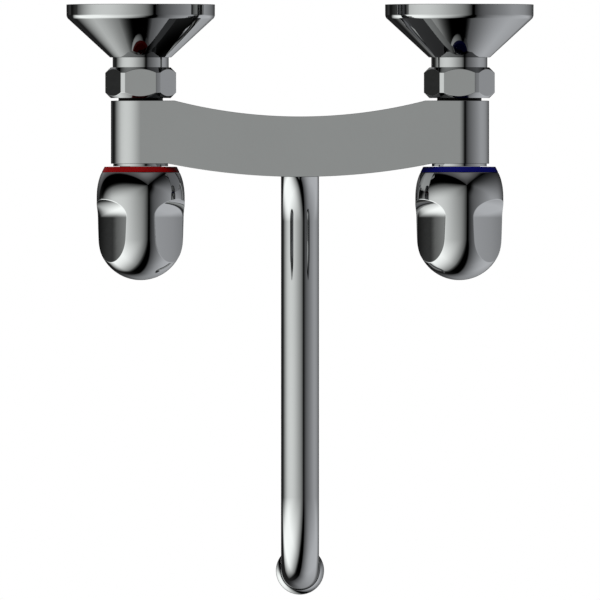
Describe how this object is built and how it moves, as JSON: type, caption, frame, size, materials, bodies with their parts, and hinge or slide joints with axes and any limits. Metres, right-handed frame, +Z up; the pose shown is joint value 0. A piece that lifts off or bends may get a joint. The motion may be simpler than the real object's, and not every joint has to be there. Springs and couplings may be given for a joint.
{
  "type": "wall-mounted kitchen faucet",
  "caption": "Wall-mounted chrome kitchen faucet with two scooped quarter-turn handles, a bow-shaped body and a long swivel spout with an aerator.",
  "frame": {"origin": "on the finished wall, midway between the two inlets and level with them", "axes": "+Z up, +Y into the wall, +X to the right for a user who faces the wall; the faucet stands out towards -Y, with the hot side at -X"},
  "size_m": [0.22, 0.2789, 0.152],
  "materials": {
    "chrome": "polished chrome plate",
    "brass": "machined bare brass",
    "ceramic": "lapped alumina",
    "rubber": "moulded black rubber",
    "white_plastic": "white acetal",
    "steel": "stainless steel",
    "red_plastic": "glossy red",
    "blue_plastic": "glossy blue"
  },
  "bodies": {
    "fixed_body": {"hot_escutcheon": "chrome", "hot_wall_union": "chrome", "hot_union_gasket": "rubber", "hot_union_nut": "chrome", "hot_inlet_nipple": "chrome", "hot_seat_seal": "rubber", "hot_fixed_disc": "ceramic", "hot_glide_washer": "white_plastic", "hot_valve_bonnet": "chrome", "hot_bonnet_o_ring": "rubber", "cold_escutcheon": "chrome", "cold_wall_union": "chrome", "cold_union_gasket": "rubber", "cold_union_nut": "chrome", "cold_inlet_nipple": "chrome", "cold_seat_seal": "rubber", "cold_fixed_disc": "ceramic", "cold_glide_washer": "white_plastic", "cold_valve_bonnet": "chrome", "cold_bonnet_o_ring": "rubber", "body": "chrome", "spout_nut": "chrome", "upper_washer": "white_plastic", "lower_washer": "white_plastic"},
    "hot_control": {"hot_rotating_disc": "ceramic", "hot_valve_spindle": "brass", "hot_spindle_o_rings": "rubber", "hot_spindle_clip": "steel", "hot_index_ring": "red_plastic", "hot_handle": "chrome", "hot_handle_screw": "steel"},
    "cold_control": {"cold_rotating_disc": "ceramic", "cold_valve_spindle": "brass", "cold_spindle_o_rings": "rubber", "cold_spindle_clip": "steel", "cold_index_ring": "blue_plastic", "cold_handle": "chrome", "cold_handle_screw": "steel"},
    "spout": {"spout_retaining_ring": "white_plastic", "spout_tailpiece": "brass", "spout_o_rings": "rubber", "spout_tube": "chrome", "spout_tip": "chrome", "aerator_gasket": "rubber", "aerator_strainer": "white_plastic", "aerator_insert": "white_plastic", "aerator_housing": "chrome"}
  },
  "joints": [
    {"name": "hot_handle_turn", "type": "hinge", "parent": "fixed_body", "child": "hot_control", "pos_m": [-0.075, -0.08, 0], "axis": [0, -1, 0], "range_deg": [0, 90]},
    {"name": "cold_handle_turn", "type": "hinge", "parent": "fixed_body", "child": "cold_control", "pos_m": [0.075, -0.08, 0], "axis": [0, -1, 0], "range_deg": [0, 90]},
    {"name": "spout_swivel", "type": "hinge", "parent": "fixed_body", "child": "spout", "pos_m": [0, -0.067, -0.02], "axis": [0, 0, 1], "range_deg": [-105, 105]}
  ]
}
